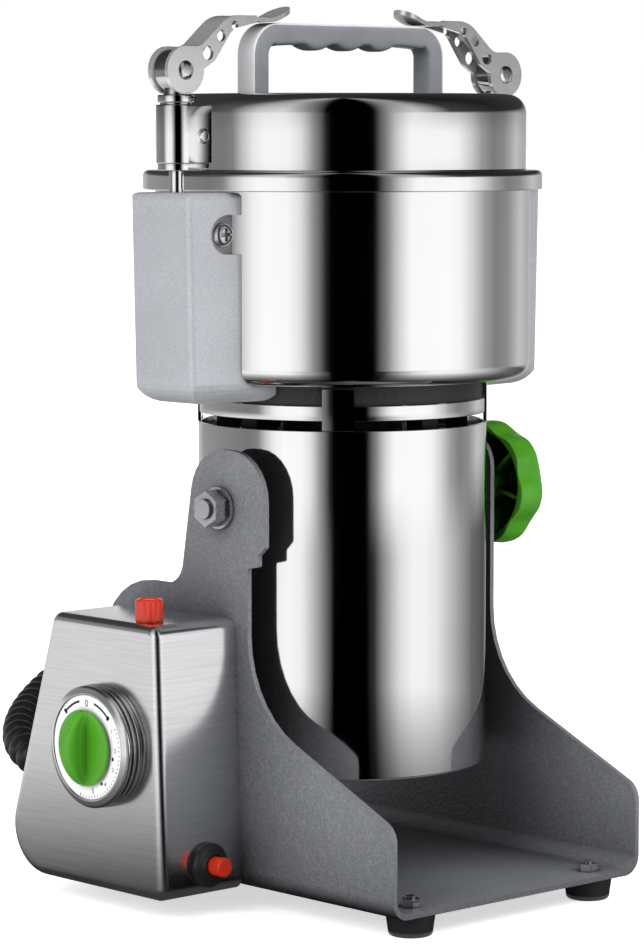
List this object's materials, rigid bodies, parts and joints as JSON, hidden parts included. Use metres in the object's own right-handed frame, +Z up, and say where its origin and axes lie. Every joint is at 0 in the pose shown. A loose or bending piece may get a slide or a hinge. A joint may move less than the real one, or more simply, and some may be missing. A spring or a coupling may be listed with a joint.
{
  "type": "electric grain mill",
  "caption": "Swing-type electric grain mill: round grinding bowl and clamped lid on an upright motor that tips between two cheeks, with a timer box at the side.",
  "frame": {"origin": "on the standing plane, on the axis of the motor and bowl", "axes": "+Z up, -Y to the open front of the base, -X to the side of the control box, +X to the locking knob; X is parallel to the tilting axis"},
  "size_m": [0.2318, 0.263, 0.3653],
  "materials": {
    "base_grey": "satin",
    "cast_grey": "satin",
    "mirror_steel": "polished",
    "satin_steel": "satin",
    "bright_metal": "polished",
    "zinc_steel": "satin",
    "cast_alloy": "satin",
    "motor_iron": "matte",
    "copper_wire": "satin",
    "green_plastic": "gloss",
    "grey_plastic": "matte",
    "black_plastic": "matte",
    "black_rubber": "matte",
    "white_dial": "satin",
    "white_seal": "matte",
    "lamp_red": "gloss",
    "button_red": "gloss"
  },
  "bodies": {
    "base": {"base_bracket": "base_grey", "rubber_feet": "black_rubber", "foot_screws": "zinc_steel", "foot_nuts": "zinc_steel", "control_box": "satin_steel", "box_screws": "zinc_steel", "timer_body": "cast_alloy", "timer_bezel": "bright_metal", "dial_plate": "white_dial", "pilot_lamp": "lamp_red", "reset_switch": "black_plastic", "box_glands": "black_plastic", "conduit": "black_plastic"},
    "timer_dial": {"timer_knob": "green_plastic", "timer_shaft": "zinc_steel"},
    "reset": {"reset_button": "button_red"},
    "head": {"motor_tube": "mirror_steel", "bottom_cap": "black_plastic", "lower_end_frame": "cast_alloy", "upper_end_frame": "motor_iron", "lower_bearing": "zinc_steel", "upper_bearing": "zinc_steel", "stator_core": "motor_iron", "field_coils": "copper_wire", "brush_gear": "copper_wire", "neck_ring": "mirror_steel", "shaft_seal": "white_seal", "pivot_bolt": "zinc_steel", "pivot_spacer": "zinc_steel", "pivot_washers": "zinc_steel", "pivot_nut": "zinc_steel", "lock_boss": "zinc_steel", "bowl": "mirror_steel", "lid": "mirror_steel", "lid_seal": "white_seal", "lid_handle": "grey_plastic", "handle_screws": "zinc_steel", "clamp_bracket_left": "cast_grey", "clamp_bracket_right": "cast_grey", "bracket_screws": "zinc_steel", "motor_gland": "black_plastic"},
    "rotor": {"rotor_shaft": "zinc_steel", "rotor_core": "motor_iron", "commutator": "copper_wire", "cooling_fan": "cast_alloy", "lower_blade": "satin_steel", "upper_blade": "satin_steel", "blade_spacer": "satin_steel", "blade_nut": "satin_steel"},
    "lock": {"lock_knob": "green_plastic", "lock_stud": "zinc_steel"},
    "left_post": {"clamp_post_left": "bright_metal", "clamp_block_left": "bright_metal", "clamp_pin_left": "bright_metal"},
    "left_lever": {"clamp_lever_left": "bright_metal"},
    "right_post": {"clamp_post_right": "bright_metal", "clamp_block_right": "bright_metal", "clamp_pin_right": "bright_metal"},
    "right_lever": {"clamp_lever_right": "bright_metal"}
  },
  "joints": [
    {"name": "head_tilt", "type": "hinge", "parent": "base", "child": "head", "pos_m": [0, -0.003, 0.1634], "axis": [1, 0, 0], "range_deg": [0, 90], "deforming": ["conduit"]},
    {"name": "rotor_spin", "type": "hinge", "parent": "head", "child": "rotor", "pos_m": [0, 0, 0.125], "axis": [0, 0, 1], "continuous": true},
    {"name": "lock_knob_turn", "type": "hinge", "parent": "head", "child": "lock", "pos_m": [0.0725, -0.003, 0.1634], "axis": [1, 0, 0], "continuous": true},
    {"name": "left_post_turn", "type": "hinge", "parent": "head", "child": "left_post", "pos_m": [-0.0906, 0, 0.31], "axis": [0, 0, 1], "range_deg": [0, 180]},
    {"name": "left_lever_lift", "type": "hinge", "parent": "left_post", "child": "left_lever", "pos_m": [-0.0906, 0, 0.3389], "axis": [0, -1, 0], "range_deg": [0, 115]},
    {"name": "right_post_turn", "type": "hinge", "parent": "head", "child": "right_post", "pos_m": [0.0906, 0, 0.31], "axis": [0, 0, -1], "range_deg": [0, 180]},
    {"name": "right_lever_lift", "type": "hinge", "parent": "right_post", "child": "right_lever", "pos_m": [0.0906, 0, 0.3389], "axis": [0, 1, 0], "range_deg": [0, 115]},
    {"name": "timer_turn", "type": "hinge", "parent": "base", "child": "timer_dial", "pos_m": [-0.113, 0.021, 0.0683], "axis": [-1, 0, 0], "range_deg": [-300, 0]},
    {"name": "reset_press", "type": "slide", "parent": "base", "child": "reset", "axis": [0, 0.9993, -0.0361], "range_m": [0, 0.0025], "stiffness_N_per_m": 400}
  ]
}
